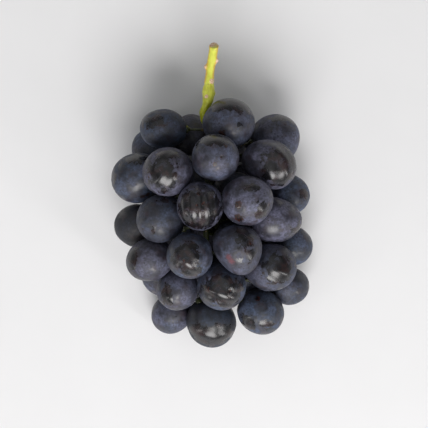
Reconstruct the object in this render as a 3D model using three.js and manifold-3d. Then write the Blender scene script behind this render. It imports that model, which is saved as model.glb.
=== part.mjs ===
// A bunch of large black table grapes as it was cut from the vine, lying on a table.
//
// Every berry is a solid of its own. The stem is one solid, as it grew: the thick cut stalk, the
// rachis that runs down the middle of the bunch, its side shoots, and one thin stalk for each berry,
// which ends in a round cushion against the berry's foot. Ripe berries press each other flat where
// they meet, and the undermost ones are flat where they lie on the table.
//
// Millimetres. +Z is up, +Y runs along the bunch to the cut end of its stalk, and +X lies across it.
// The origin is on the table, under the middle of the bunch.
import * as THREE from 'three';
import { mergeVertices } from 'three/addons/utils/BufferGeometryUtils.js';
import Module from 'manifold-3d';

const wasm = await Module();
wasm.setup();

// Sizes that drive the rest.
const BERRY_WIDTH = 29.5; // a middling berry, across
const BERRY_LENGTH = 31; // the same berry, from its foot to its tip
const PRESSED = 0.955; // how near two berries' middles come, as a share of their two radii
const SEAT_GAP = 0.3; // between a berry and whatever it touches
const STALK_LENGTH = 44; // the cut stalk, beyond the rachis
const STALK_WIDTH = 6;
const KNUCKLE_WIDTH = 8.6; // the swollen joint of the stalk
const RACHIS_WIDTH = 5; // where it leaves the stalk
const RACHIS_TIP_WIDTH = 3.2;
const SHOOT_WIDTH = 2.6; // a side shoot off the rachis
const SHOOT_LENGTH = 6.5;
const FORK_WIDTH = 3.6; // the swollen end of a side shoot, where its berries' stalks begin
const STEMLET_WIDTH = 2; // the thin stalk of one berry
const CUSHION_WIDTH = 5.4; // the round pad at its end, against the berry
const CUSHION_DEPTH = 2.4;
const FOOT_DIMPLE = 1.1; // how deep a berry's foot is sunk under its cushion
const WART_WIDTH = 2.2; // the corky warts on the stalk
const WART_SUNK = 0.07; // how far a wart's middle lies inside the stalk, as a share of its radius

// How the berries grew: one entry for each side shoot, with its place along the rachis and its
// berries. A berry has its middle across, along and up, and then its width and length as shares of
// a middling one. The places are in millimetres for middling berries of DRAWN_RADIUS, and spread
// with the berries.
const DRAWN_RADIUS = 15;
const SHOOTS = [
  { along: 58, berries: [[14, 64, 48, 1.08, 1.06], [-27, 61, 42, 0.86, 0.98]] },
  { along: 52, berries: [[-9, 58, 19, 0.92, 0.95], [20, 55, 13, 0.98, 0.98]] },
  { along: 48, berries: [[43, 55, 29, 1.05, 1.05], [39, 38, 53, 1.04, 1.18]] },
  { along: 43, berries: [[6, 42, 66, 1.0, 1.02], [-24, 33, 62, 1.03, 1.05]] },
  { along: 37, berries: [[-43, 30, 40, 1.08, 1.1], [-33, 47, 13, 0.97, 0.97]] },
  { along: 30, berries: [[0, 27, 13, 0.97, 0.98], [28, 25, 13, 0.98, 1.0], [50, 20, 24, 0.9, 0.95]] },
  { along: 24, berries: [[25, 15, 68, 1.07, 1.09], [18, 20, 41, 0.94, 0.96]] },
  { along: 17, berries: [[-27, 3, 54, 1.02, 1.03], [-25, 20, 13, 0.95, 0.97]] },
  { along: 11, berries: [[-4, 12, 66, 0.97, 1.06]] },
  { along: 4, berries: [[43, 3, 47, 1.03, 1.14], [51, -12, 24, 0.86, 0.9], [19, -10, 38, 0.94, 0.96]] },
  { along: -1, berries: [[-42, -1, 32, 0.94, 0.97], [-22, -6, 13, 0.96, 0.97]] },
  { along: -6, berries: [[5, -5, 13, 0.97, 0.98], [32, -8, 13, 0.97, 1.0]] },
  { along: -12, berries: [[-10, -19, 66, 0.97, 1.02], [-34, -21, 46, 0.92, 1.0]] },
  { along: -17, berries: [[19, -15, 66, 1.05, 1.07], [41, -26, 48, 1.02, 1.07]] },
  { along: -23, berries: [[-26, -29, 13, 0.97, 0.98], [-19, -40, 42, 0.88, 0.88]] },
  { along: -28, berries: [[4, -34, 13, 0.98, 0.98], [30, -34, 13, 0.97, 0.98], [50, -39, 19, 0.83, 0.88]] },
  { along: -34, berries: [[10, -38, 50, 1.04, 1.08], [35, -56, 30, 0.97, 1.0]] },
  { along: -45, berries: [[-23, -56, 13, 0.86, 0.88], [3, -62, 22, 1.07, 1.09]] },
];

// The rachis, from where the stalk enters the bunch to its tip, drawn as the berries are.
const RACHIS = [[-2, 70, 40], [3, 57, 35], [2, 38, 37], [0, 10, 38], [0, -12, 36], [-1, -32, 33], [1, -47, 27]];
// The stalk's middle line: a share of STALK_LENGTH, then how far it strays across and up by there.
const STALK = [[0.17, 2.2, 1], [0.34, 3.9, 2], [0.53, 3.9, 3], [0.72, 5.4, 4], [1, 7.2, 6]];
const KNUCKLE_AT = 0.34; // shares of the stalk's length
const KNUCKLE_SPREAD = 0.09;
const WARTS = [[0.4, 15], [0.66, 175], [0.7, 5], [0.9, 235]]; // share of the length, degrees round it

const UP = new THREE.Vector3(0, 0, 1);
const DOWN = new THREE.Vector3(0, 0, -1);
const meanRadius = (halfWidth, halfLength) => (2 * halfWidth + halfLength) / 3;
const growth = meanRadius(BERRY_WIDTH / 2, BERRY_LENGTH / 2) / DRAWN_RADIUS;
const drawn = (place) => new THREE.Vector3(...place).multiplyScalar(growth);

// Berries

const SETTLING_ROUNDS = 160;
const HOLD = 0.04; // share of the way back to its drawn place that a berry goes in each early round

function newBerry([across, along, up, width, length], shoot) {
  const home = drawn([across, along, up]);
  const berry = { shoot, home, middle: home.clone() };
  berry.halfWidth = (BERRY_WIDTH / 2) * width;
  berry.halfLength = (BERRY_LENGTH / 2) * length;
  berry.radius = meanRadius(berry.halfWidth, berry.halfLength);
  return berry;
}

// Moves the berries apart until none is pressed by more than PRESSED says, and keeps them above the
// table and off the rachis.
function settle(berries, rachis) {
  for (let round = 0; round < SETTLING_ROUNDS; round += 1) {
    berries.forEach((berry, i) => {
      if (round < SETTLING_ROUNDS / 2) berry.middle.lerp(berry.home, HOLD);
      for (const other of berries.slice(i + 1)) {
        const apart = other.middle.clone().sub(berry.middle);
        const short = PRESSED * (berry.radius + other.radius) - apart.length();
        if (short > 0) {
          apart.setLength(short / 2);
          other.middle.add(apart);
          berry.middle.sub(apart);
        }
      }
      for (const bead of rachis) {
        const away = berry.middle.clone().sub(bead.at);
        const short = PRESSED * berry.radius + bead.radius - away.length();
        if (short > 0) berry.middle.add(away.setLength(short));
      }
      berry.middle.z = Math.max(berry.middle.z, PRESSED * berry.radius);
    });
  }
}

// Directions spread evenly over a ball, by the golden angle.
function directions(count) {
  const golden = Math.PI * (3 - Math.sqrt(5));
  return Array.from({ length: count }, (_, i) => {
    const up = 1 - (2 * i + 1) / count;
    const out = Math.sqrt(1 - up * up);
    return new THREE.Vector3(out * Math.cos(golden * i), out * Math.sin(golden * i), up);
  });
}

const FOOT_CHOICES = directions(400);
const ROOM_COUNTS = 1.5; // how much room for the cushion counts against facing the fork

// The berry's foot faces its side shoot as nearly as it can, where its neighbours leave room for
// the cushion. The long axis runs from the foot through the middle to the tip.
function turnFoot(berry, berries, fork) {
  const toFork = fork.clone().sub(berry.middle).normalize();
  const roomFor = CUSHION_WIDTH / 2 + SEAT_GAP;
  let best = -Infinity;
  for (const way of FOOT_CHOICES) {
    const foot = way.clone().multiplyScalar(berry.halfLength + CUSHION_DEPTH).add(berry.middle);
    const rooms = berries.filter((b) => b !== berry).map((b) => foot.distanceTo(b.middle) - b.radius);
    const room = Math.min(...rooms, foot.z, roomFor);
    const score = way.dot(toFork) + ROOM_COUNTS * (room / roomFor);
    if (score > best) {
      best = score;
      berry.footWay = way.clone();
    }
  }
  berry.footReach = berry.halfLength - FOOT_DIMPLE;
}

// A place beyond the middle of the berry's foot.
function footPlace(berry, beyond) {
  return berry.footWay.clone().multiplyScalar(berry.footReach + beyond).add(berry.middle);
}

// How far an uncut berry reaches from its middle in a direction.
function reach(berry, way) {
  const along = way.dot(berry.footWay) ** 2;
  return Math.sqrt(berry.halfWidth ** 2 * (1 - along) + berry.halfLength ** 2 * along);
}

// The flat walls that a berry stops at: its cushion, the table, one between it and each neighbour,
// and one before each bead of the stem. A wall has the direction it lies in from the berry's middle
// and its distance. Two neighbours share the space between them by their sizes.
function wallsOf(berry, berries, beads) {
  const walls = [
    { way: berry.footWay, distance: berry.footReach },
    { way: DOWN, distance: berry.middle.z },
  ];
  const add = (way, distance) => {
    if (distance < reach(berry, way)) walls.push({ way, distance });
  };
  for (const other of berries) {
    if (other === berry) continue;
    const way = other.middle.clone().sub(berry.middle);
    const apart = way.length();
    way.normalize();
    const own = reach(berry, way);
    const share = own / (own + reach(other, way));
    add(way, share * (apart - SEAT_GAP));
  }
  for (const bead of beads) {
    if (bead.berry === berry) continue;
    const way = bead.at.clone().sub(berry.middle);
    const apart = way.length();
    add(way.normalize(), apart - bead.radius - SEAT_GAP);
  }
  return walls;
}

const ball = new THREE.IcosahedronGeometry(1, 3);
ball.deleteAttribute('normal');
ball.deleteAttribute('uv');
const unitBall = mergeVertices(ball, 1e-4);

const berrySkin = new THREE.MeshStandardMaterial({ color: 0x2a2c3a, roughness: 0.5, metalness: 0 });

// A rounded oval, drawn in towards its middle wherever it would pass one of its walls.
function berryMesh(berry, name, berries, beads) {
  const turn = new THREE.Quaternion().setFromUnitVectors(UP, berry.footWay);
  const back = turn.clone().invert();
  const walls = wallsOf(berry, berries, beads);
  const local = walls.map(({ way, distance }) => ({ way: way.clone().applyQuaternion(back), distance }));
  const geometry = unitBall.clone();
  const points = geometry.getAttribute('position');
  const point = new THREE.Vector3();
  for (let i = 0; i < points.count; i += 1) {
    point.fromBufferAttribute(points, i);
    point.multiply(new THREE.Vector3(berry.halfWidth, berry.halfWidth, berry.halfLength));
    const shares = local.map(({ way, distance }) => distance / Math.max(point.dot(way), 1e-6));
    point.multiplyScalar(Math.min(1, ...shares));
    points.setXYZ(i, point.x, point.y, point.z);
  }
  const mesh = new THREE.Mesh(geometry, berrySkin);
  mesh.name = name;
  mesh.position.copy(berry.middle);
  mesh.quaternion.copy(turn);
  return mesh;
}

// The stem

const BEAD_SPACING = 1.2;

// Points along a curve with the stem's radius at each: what the berries have to leave room for.
function beadsOf(curve, radiusAt) {
  const count = Math.max(2, Math.ceil(curve.getLength() / BEAD_SPACING));
  return Array.from({ length: count + 1 }, (_, i) => {
    const share = i / count;
    return { at: curve.getPointAt(share), radius: radiusAt(share) };
  });
}

// The bead that is nearest to a place along the bunch.
function nearest(beads, along) {
  return beads.reduce((a, b) => (Math.abs(a.at.y - along) < Math.abs(b.at.y - along) ? a : b));
}

// A closed round rod along a curve. It is a lathed shape whose profile gives the radius at each
// share of the curve, with its rings then set square to the curve.
function rod(curve, radiusAt, steps, sides) {
  const profile = [new THREE.Vector2(0, 0)];
  for (let i = 0; i <= steps; i += 1) profile.push(new THREE.Vector2(radiusAt(i / steps), i / steps));
  profile.push(new THREE.Vector2(0, 1));
  const geometry = new THREE.LatheGeometry(profile, sides);
  geometry.deleteAttribute('normal');
  geometry.deleteAttribute('uv');
  const frames = curve.computeFrenetFrames(steps, false);
  const points = geometry.getAttribute('position');
  const point = new THREE.Vector3();
  for (let i = 0; i < points.count; i += 1) {
    point.fromBufferAttribute(points, i);
    const step = Math.round(point.y * steps);
    const place = curve.getPointAt(point.y);
    place.addScaledVector(frames.normals[step], point.x);
    place.addScaledVector(frames.binormals[step], -point.z);
    points.setXYZ(i, place.x, place.y, place.z);
  }
  return geometry;
}

// One part of the stem as a solid. Corners that coincide become one, and faces that shrink to a
// line at the end of a rod are left out.
function solidOf(geometry) {
  const merged = mergeVertices(geometry, 1e-4);
  const numbers = merged.index.array;
  const faces = [];
  for (let i = 0; i < numbers.length; i += 3) {
    const [a, b, c] = numbers.slice(i, i + 3);
    if (a !== b && b !== c && c !== a) faces.push(a, b, c);
  }
  const vertProperties = merged.getAttribute('position').array;
  return new wasm.Manifold(new wasm.Mesh({ numProp: 3, vertProperties, triVerts: new Uint32Array(faces) }));
}

function geometryOf(solid) {
  const { vertProperties, triVerts } = solid.getMesh();
  const geometry = new THREE.BufferGeometry();
  geometry.setAttribute('position', new THREE.BufferAttribute(vertProperties, 3));
  geometry.setIndex(new THREE.BufferAttribute(triVerts, 1));
  return geometry;
}

const mix = THREE.MathUtils.lerp;

// The rachis and the stalk are one rod. Its middle line runs from the rachis's tip to the cut end.
function backboneCurve() {
  const foot = drawn(RACHIS[0]);
  const spots = STALK.map(([share, across, up]) => {
    return new THREE.Vector3(foot.x + across, foot.y + share * STALK_LENGTH, foot.z + up);
  });
  return new THREE.CatmullRomCurve3([...RACHIS.map(drawn).reverse(), ...spots]);
}

// The rod's radius where it has come so far along: the rachis widens towards the stalk, and the
// stalk has a smooth swelling at its knuckle.
function backboneRadius(share) {
  const place = backbone.getPointAt(share).y;
  const foot = drawn(RACHIS[0]).y;
  const tip = drawn(RACHIS.at(-1)).y;
  if (place < foot) return mix(RACHIS_TIP_WIDTH, RACHIS_WIDTH, (place - tip) / (foot - tip)) / 2;
  const up = (place - foot) / STALK_LENGTH;
  const swelling = Math.exp(-(((up - KNUCKLE_AT) / KNUCKLE_SPREAD) ** 2));
  return mix(mix(RACHIS_WIDTH, STALK_WIDTH, Math.min(1, up / KNUCKLE_AT)), KNUCKLE_WIDTH, swelling) / 2;
}

const SMOOTHING_ROUNDS = 120;
const STRETCH = 5; // the longest straight stretch of a bent stemlet, about

// Moves a point of the stem half way out of each berry that it is too near.
function clear(point, radius, berries) {
  for (const berry of berries) {
    const away = point.clone().sub(berry.middle);
    const short = berry.radius + radius + SEAT_GAP - away.length();
    if (short > 0) point.add(away.setLength(short / 2));
  }
}

// The end of a side shoot: out from the rachis towards the middle of its berries, where there is room.
function forkOf(root, own, berries) {
  const lean = new THREE.Vector3();
  for (const berry of own) lean.add(berry.middle.clone().sub(root).normalize());
  const fork = lean.setLength(SHOOT_LENGTH).add(root);
  for (let round = 0; round < SMOOTHING_ROUNDS; round += 1) clear(fork, SHOOT_WIDTH / 2, berries);
  return fork;
}

// A berry's stalk finds its way from the fork to the foot through the hollows between the berries.
function pathAround(start, end, berries) {
  const count = Math.max(2, Math.round(start.distanceTo(end) / 4));
  const path = Array.from({ length: count + 1 }, (_, i) => start.clone().lerp(end, i / count));
  for (let round = 0; round < SMOOTHING_ROUNDS; round += 1) {
    for (let i = 1; i < count; i += 1) {
      const between = path[i - 1].clone().add(path[i + 1]).multiplyScalar(0.5);
      path[i].lerp(between, 0.5);
      clear(path[i], STEMLET_WIDTH / 2, berries);
    }
  }
  return new THREE.CatmullRomCurve3(path);
}

// The round pad between a berry's foot and its stalk: a lathed button, flat towards the berry.
function cushion(berry) {
  const rings = [[0, 0], [0.9, 0], [1, 0.3], [(1.3 * STEMLET_WIDTH) / CUSHION_WIDTH, 1], [0, 1]];
  const profile = rings.map(([out, up]) => {
    return new THREE.Vector2((out * CUSHION_WIDTH) / 2, up * CUSHION_DEPTH);
  });
  const geometry = new THREE.LatheGeometry(profile, 7);
  geometry.deleteAttribute('normal');
  geometry.deleteAttribute('uv');
  const turn = new THREE.Quaternion().setFromUnitVectors(THREE.Object3D.DEFAULT_UP, berry.footWay);
  const place = footPlace(berry, SEAT_GAP);
  return geometry.applyQuaternion(turn).translate(place.x, place.y, place.z);
}

// A small round swelling of the stem.
function knob(place, width, detail) {
  const geometry = new THREE.IcosahedronGeometry(width / 2, detail);
  geometry.deleteAttribute('normal');
  geometry.deleteAttribute('uv');
  return geometry.translate(place.x, place.y, place.z);
}

// A wart on the stalk, at a share of its length and at an angle round it from +X.
function wart([share, degrees]) {
  const { at, radius } = nearest(backboneBeads, drawn(RACHIS[0]).y + share * STALK_LENGTH);
  const angle = THREE.MathUtils.degToRad(degrees);
  const out = new THREE.Vector3(Math.cos(angle), 0, Math.sin(angle));
  return knob(out.multiplyScalar(radius * (1 - WART_SUNK)).add(at), WART_WIDTH, 1);
}

// The whole bunch

const backbone = backboneCurve();
const backboneBeads = beadsOf(backbone, backboneRadius);
const berries = SHOOTS.flatMap((shoot) => shoot.berries.map((row) => newBerry(row, shoot)));
settle(berries, backboneBeads);

const stemParts = [rod(backbone, backboneRadius, 34, 9), ...WARTS.map(wart)];
const beads = [...backboneBeads];
for (const shoot of SHOOTS) {
  const own = berries.filter((berry) => berry.shoot === shoot);
  const root = nearest(backboneBeads, shoot.along * growth).at;
  const fork = forkOf(root, own, berries);
  const shootCurve = new THREE.LineCurve3(root, fork);
  const shootRadius = () => SHOOT_WIDTH / 2;
  stemParts.push(rod(shootCurve, shootRadius, 1, 6), knob(fork, FORK_WIDTH, 0));
  beads.push(...beadsOf(shootCurve, shootRadius), { at: fork, radius: FORK_WIDTH / 2 });
  for (const berry of own) {
    turnFoot(berry, berries, fork);
    const seat = footPlace(berry, SEAT_GAP + CUSHION_DEPTH / 2);
    const curve = pathAround(fork, seat, berries);
    const radiusAt = () => STEMLET_WIDTH / 2;
    const steps = Math.max(1, Math.round(curve.getLength() / STRETCH));
    stemParts.push(rod(curve, radiusAt, steps, 5), cushion(berry));
    beads.push(...beadsOf(curve, radiusAt).filter(({ at }) => at.distanceTo(seat) > CUSHION_DEPTH));
    beads.push({ at: seat, radius: CUSHION_WIDTH / 2, berry });
  }
}

const bunch = new THREE.Group();
berries.forEach((berry, i) => {
  const name = `berry_${String(i + 1).padStart(2, '0')}`;
  bunch.add(berryMesh(berry, name, berries, beads));
});

const stemSolid = stemParts.map(solidOf).reduce((whole, part) => whole.add(part));
const greenStem = new THREE.MeshStandardMaterial({ color: 0xaaa832, roughness: 0.6, metalness: 0 });
const stem = new THREE.Mesh(geometryOf(stemSolid), greenStem);
stem.name = 'stem';
bunch.add(stem);

// The origin goes under the middle of the bunch.
const middle = new THREE.Box3().setFromObject(bunch, true).getCenter(new THREE.Vector3());
bunch.position.set(-middle.x, -middle.y, 0);

export default bunch;
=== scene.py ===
"""A bunch of large black table grapes, lying on a pale floor under broad soft light.

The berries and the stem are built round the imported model. Each berry's skin is drawn through the
corners of its CAD solid, so it keeps that solid's place, size and pressed flats, and the stem is
the CAD stem with its facets rounded away. Metres; +Z is up and +Y runs to the cut end of the stalk.
"""

import math

import bpy
import numpy as np
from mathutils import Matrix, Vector


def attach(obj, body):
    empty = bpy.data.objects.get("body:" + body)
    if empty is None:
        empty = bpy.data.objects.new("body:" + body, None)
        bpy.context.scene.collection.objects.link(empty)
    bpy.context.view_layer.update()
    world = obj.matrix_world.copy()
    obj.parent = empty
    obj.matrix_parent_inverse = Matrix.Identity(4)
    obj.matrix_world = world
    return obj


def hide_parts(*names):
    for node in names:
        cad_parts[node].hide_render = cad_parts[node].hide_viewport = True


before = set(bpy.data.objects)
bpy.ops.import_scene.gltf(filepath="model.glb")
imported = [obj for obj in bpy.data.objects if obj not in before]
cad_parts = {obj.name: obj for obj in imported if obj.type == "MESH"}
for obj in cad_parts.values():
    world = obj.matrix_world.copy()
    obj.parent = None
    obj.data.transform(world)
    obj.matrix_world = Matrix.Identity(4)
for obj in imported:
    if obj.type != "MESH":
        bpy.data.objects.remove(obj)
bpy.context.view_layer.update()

bl_info = {
    "name": "Bunch of grapes",
    "version": (1, 0, 0),
    "blender": (4, 5, 0),
    "location": "3D View > Sidebar > Grapes",
    "description": "Berries with a rubbed bloom, a branching green stem, and a plain studio",
    "category": "Object",
}

MM = 0.001
BERRIES = sorted(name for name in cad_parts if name.startswith("berry_"))
STEM = "stem"


# Colours that go with what a thing is, whatever colour the fruit has, and the warm orange of the
# stalk's painted edge shade.
SHADES = {
    "pore": "15151A",
    "scab": "0C0708",
    "raw scab": "3A1A15",
    "flush": "703238",
    "wax sheen": "C9CDDB",
    # The warm orange of the painted edge shade on the stalk's sides.
    "painted edge shade": "D69A45",
    "dried rind": "F2DCC2",
    "sky": "F0F0F2",
}


def colour(code):
    """Turns an sRGB hex code into the linear colour that the shaders use."""
    srgb = np.array([int(code[i : i + 2], 16) for i in (0, 2, 4)]) / 255
    linear = np.where(srgb <= 0.04045, srgb / 12.92, ((srgb + 0.055) / 1.055) ** 2.4)
    return tuple(float(v) for v in linear)


def opaque(shade):
    """A colour as a socket takes it, with an alpha of 1: a linear colour, or a name in SHADES."""
    return (*(colour(SHADES[shade]) if isinstance(shade, str) else shade), 1.0)


# Where the bloom is rubbed off the berries that lie on top. Each patch has the way it faces from
# the berry's middle (across, along, up), its half-angles across and along in degrees, and its
# strength, 1 for polished skin. Berries that aren't named here are rubbed at the tip.
RUBBED = {
    "berry_01": [((0.1, 0.8, 0.6), 56, 30, 1.0), ((0.42, -0.1, 0.9), 16, 14, 0.6)],
    "berry_02": [((-0.35, 0.35, 0.85), 48, 30, 0.8)],
    "berry_05": [((0.2, 0.8, 0.5), 46, 24, 0.75)],
    "berry_06": [((0.42, -0.1, 0.85), 46, 52, 1.0)],
    "berry_07": [((-0.15, 0.72, 0.6), 50, 26, 0.9), ((0.1, -0.42, 0.9), 26, 16, 0.45)],
    "berry_08": [((-0.22, -0.12, 0.95), 42, 50, 0.9), ((0.0, 0.7, 0.7), 36, 16, 0.9)],
    "berry_09": [((-0.85, -0.1, 0.5), 18, 34, 0.6), ((0.0, 0.75, 0.55), 50, 26, 0.8)],
    "berry_14": [((0.5, -0.4, 0.75), 24, 32, 0.8), ((0.12, 0.5, 0.85), 20, 13, 0.9)],
    "berry_16": [((-0.3, -0.5, 0.85), 22, 30, 0.55), ((0.1, 0.7, 0.6), 50, 22, 0.6)],
    "berry_18": [((0.0, -0.25, 1.0), 66, 58, 1.0)],
    "berry_22": [((0.3, 0.3, 0.9), 34, 30, 0.55)],
    "berry_26": [((-0.12, -0.06, 1.0), 34, 40, 1.0), ((0.1, -0.62, 0.75), 26, 18, 1.0)],
    "berry_27": [((-0.72, 0.05, 0.65), 15, 40, 1.0)],
    "berry_28": [
        ((0.3, 0.45, 0.85), 30, 38, 0.8),
        ((0.52, -0.3, 0.8), 16, 22, 0.75),
        ((0.12, -0.36, 0.9), 20, 22, 0.5),
    ],
    "berry_29": [((0.3, -0.1, 0.92), 44, 48, 0.86)],
    "berry_31": [((-0.5, -0.3, 0.8), 28, 42, 0.85)],
    "berry_35": [((-0.02, -0.24, 1.0), 60, 42, 1.0)],
    "berry_36": [((-0.58, -0.42, 0.65), 22, 24, 1.0), ((0.3, -0.5, 0.8), 34, 20, 0.75)],
    "berry_38": [((0.0, -0.55, 0.8), 70, 34, 1.0)],
}

# Brown corky scabs and old spots, and one pink flush: the way each faces, and its half-angle.
SCABS = {
    "berry_01": [((-0.28, -0.45, 0.85), 9)],
    "berry_07": [((-0.02, -0.3, 0.95), 5), ((0.4, 0.42, 0.8), 5)],
    "berry_09": [((0.2, -0.72, 0.6), 6), ((0.42, -0.68, 0.6), 6)],
    "berry_14": [((-0.42, -0.16, 0.88), 9), ((-0.36, -0.66, 0.64), 12)],
    "berry_18": [((0.16, 0.02, 1.0), 5), ((-0.05, 0.42, 0.9), 5)],
    "berry_29": [((-0.35, -0.2, 0.9), 4)],
    "berry_35": [((-0.55, -0.1, 0.8), 7)],
    "berry_36": [((-0.15, 0.62, 0.75), 7)],
}
FLUSHED = {"berry_28": [((-0.34, -0.34, 0.88), 9), ((-0.22, -0.5, 0.84), 9)]}

# How much bloom each berry on top has (1 is usual) and how blue it is, from 0, lilac, to 1.
CHARACTER = {
    "berry_01": (1.0, 0.5),
    "berry_02": (0.95, 0.7),
    "berry_05": (1.2, 0.4),
    "berry_06": (1.1, 0.1),
    "berry_07": (1.0, 0.45),
    "berry_08": (1.05, 0.1),
    "berry_09": (0.95, 0.7),
    "berry_13": (1.4, 0.6),
    "berry_14": (1.25, 0.2),
    "berry_16": (0.72, 0.6),
    "berry_18": (1.3, 0.25),
    "berry_19": (1.35, 0.1),
    "berry_22": (0.2, 0.5),
    "berry_26": (1.05, 0.6),
    "berry_27": (0.9, 0.2),
    "berry_28": (0.95, 0.4),
    "berry_29": (0.9, 0.45),
    "berry_31": (1.0, 0.3),
    "berry_35": (1.05, 0.6),
    "berry_36": (1.0, 0.7),
    "berry_38": (0.42, 0.8),
}

# Polished berries whose skin has long waves that break up a highlight: the way the waves run, how
# fast (radians of phase across one radius), their height in millimetres, and how much they bend.
WAVES = {
    "berry_06": ((0.75, 0.5, -0.45), 12, 0.4, 1.1),
    "berry_08": ((0.8, -0.6, 0.2), 16, 0.2, 1.2),
    "berry_14": ((0.6, -0.6, 0.4), 12, 0.2, 0.8),
    "berry_18": ((1.0, 0.12, 0.0), 20, 0.24, 0.5),
    "berry_26": ((0.62, 0.72, 0.3), 13, 0.3, 0.7),
    "berry_29": ((0.6, 0.6, 0.5), 14, 0.26, 1.3),
    "berry_31": ((0.7, 0.2, 0.4), 12, 0.2, 1.0),
    "berry_35": ((0.35, 0.85, 0.3), 12, 0.36, 1.2),
    "berry_36": ((0.5, 0.6, 0.4), 12, 0.2, 0.9),
    "berry_38": ((0.12, 0.8, 0.5), 11, 0.26, 0.6),
}

# Berries that swell out or draw in on one side: the way that side faces, and by how many
# millimetres, less than 0 where it draws in. SWELL_FALL is how fast that dies away round the berry.
SWOLLEN = {
    "berry_06": [((-0.75, -0.65, 0.2), -2.2), ((0.35, -0.95, 0.1), 0.8)],
    "berry_14": [((0.9, -0.55, 0.2), -1.6)],
    "berry_18": [((0.02, -1.0, 0.1), 1.8)],
    "berry_19": [((0.6, 0.75, 0.25), -2.2), ((0.65, -0.8, 0.2), -1.1), ((1.0, 0.0, 0.0), 0.7)],
    "berry_28": [((-0.68, -0.75, 0.2), -3.8), ((0.95, -0.7, 0.25), -0.9), ((0.3, -1.0, 0.15), 2.6)],
}
SWELL_FALL = 3.0
SPOT_FADE = 1.8  # rubbed patches, scabs and flushes fade over this many times their half-angle

# Sums of plane waves: the lowest and highest radians of phase across one radius, and how many.
GENTLE_WAVES = (3.0, 8.0, 14)
FINE_WAVES = (14.0, 24.0, 24)
DENT_WAVES = (5.0, 11.0, 12)
BENDING_WAVES = (1.5, 3.0, 6)
SLOW_RIND_WAVES = (0.6, 1.6, 10)
FINE_RIND_WAVES = (2.2, 4.5, 16)
FINE_SHARE = 0.06  # height of the fine waves of the skin, against the gentle ones

# Round ridges near a berry's ends: radians from the tip or the foot, and width in radians.
SCAR = (0.0, 0.055)
SCAR_LIP = (0.12, 0.05)
FOOT_RIM = (0.5, 0.16)
LIP_SHARE = 0.35  # height of the scar's lip, against the scar's depth
RIM_HEIGHT = 0.25 * MM
CORKY_SCAR = 0.05  # radians from the tip to which the scar is corky

# A berry that RUBBED doesn't name is rubbed near the tip: how far that leans, the patch's half-angle
# in degrees, its length against its width, and its strength.
TIP_LEAN = 0.5
TIP_PATCH = (18, 48)
TIP_PATCH_LENGTH = (0.6, 1.0)
TIP_PATCH_STRENGTH = (0.55, 1.0)
ANY_TONE = (0.6, 1.1)  # bloom of a berry that CHARACTER doesn't name
ANY_COOL = (0.1, 0.8)  # how blue it is

# Finding a berry's middle and foot: how far inside the fitted ball a pressed corner lies, how far
# past the skin the cushion's faces may lie, and the cosines that say that a face looks at the
# berry's middle and that two faces are one flat.
PRESSED_IN = 0.25 * MM
CUSHION_REACH = 1.0 * MM
LOOKS_AT_MIDDLE = 0.97
ONE_FLAT = 0.9995
SKIN_EASE = 0.02  # how loosely the skin is held to the CAD corners, which keeps it smooth


class GrapeBerryProps(bpy.types.PropertyGroup):
    """Sizes and colours of the berries."""

    around: bpy.props.IntProperty(
        name="Around", description="Faces round a berry", default=128, min=16
    )
    rings: bpy.props.IntProperty(
        name="Rings", description="Faces from a berry's foot to its tip", default=88, min=12
    )
    softness: bpy.props.FloatProperty(
        name="Softness",
        description="How widely a berry's skin rounds off the corners of its solid",
        default=math.radians(17),
        subtype="ANGLE",
    )
    ripple: bpy.props.FloatProperty(
        name="Ripple",
        description="Height of the skin's gentle unevenness",
        default=0.15 * MM,
        unit="LENGTH",
        precision=5,
    )
    dent: bpy.props.FloatProperty(
        name="Dent",
        description="Height of the soft dents in rubbed skin",
        default=0.1 * MM,
        unit="LENGTH",
        precision=5,
    )
    tip_scar: bpy.props.FloatProperty(
        name="Tip scar",
        description="Depth of the small dot that the flower leaves at the tip",
        default=0.28 * MM,
        unit="LENGTH",
        precision=5,
    )
    bloom: bpy.props.FloatVectorProperty(
        name="Bloom",
        description="Colour of the waxy bloom where it is thick",
        default=colour("4E4E61"),
        subtype="COLOR",
    )
    cool_bloom: bpy.props.FloatVectorProperty(
        name="Cool bloom",
        description="Colour of the bluer parts of the bloom",
        default=colour("38455C"),
        subtype="COLOR",
    )
    skin: bpy.props.FloatVectorProperty(
        name="Skin",
        description="Colour of the bare skin",
        default=colour("100F11"),
        subtype="COLOR",
    )
    warm_skin: bpy.props.FloatVectorProperty(
        name="Warm skin",
        description="Colour of the bare skin where it is less ripe",
        default=colour("281B1B"),
        subtype="COLOR",
    )


class GrapeStemProps(bpy.types.PropertyGroup):
    """Sizes and colours of the stem."""

    grain: bpy.props.FloatProperty(
        name="Grain",
        description="Size of the faces that the stem is rebuilt from",
        default=0.36 * MM,
        unit="LENGTH",
        precision=5,
    )
    fair: bpy.props.IntProperty(
        name="Fairing", description="Passes that round the facets off the stem", default=30, min=0
    )
    free_length: bpy.props.FloatProperty(
        name="Free length",
        description="Length of the stalk that stands clear of the berries",
        default=43 * MM,
        unit="LENGTH",
        precision=4,
    )
    fresh: bpy.props.FloatVectorProperty(
        name="Fresh green",
        description="Colour of the sunlit side of the stalk",
        default=colour("DCE05A"),
        subtype="COLOR",
    )
    deep: bpy.props.FloatVectorProperty(
        name="Deep green",
        description="Colour of the older, darker stretches",
        default=colour("A2A80F"),
        subtype="COLOR",
    )
    # Painted shade: the dark green put on the branches deep inside the bunch, where shade falls.
    painted_shade: bpy.props.FloatVectorProperty(
        name="Shaded green",
        description="Dark green painted on the branches deep inside the bunch as shade",
        default=colour("2A3013"),
        subtype="COLOR",
    )
    cork: bpy.props.FloatVectorProperty(
        name="Cork",
        description="Colour of warts, scars and the dried cut",
        default=colour("CB9C74"),
        subtype="COLOR",
    )


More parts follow.
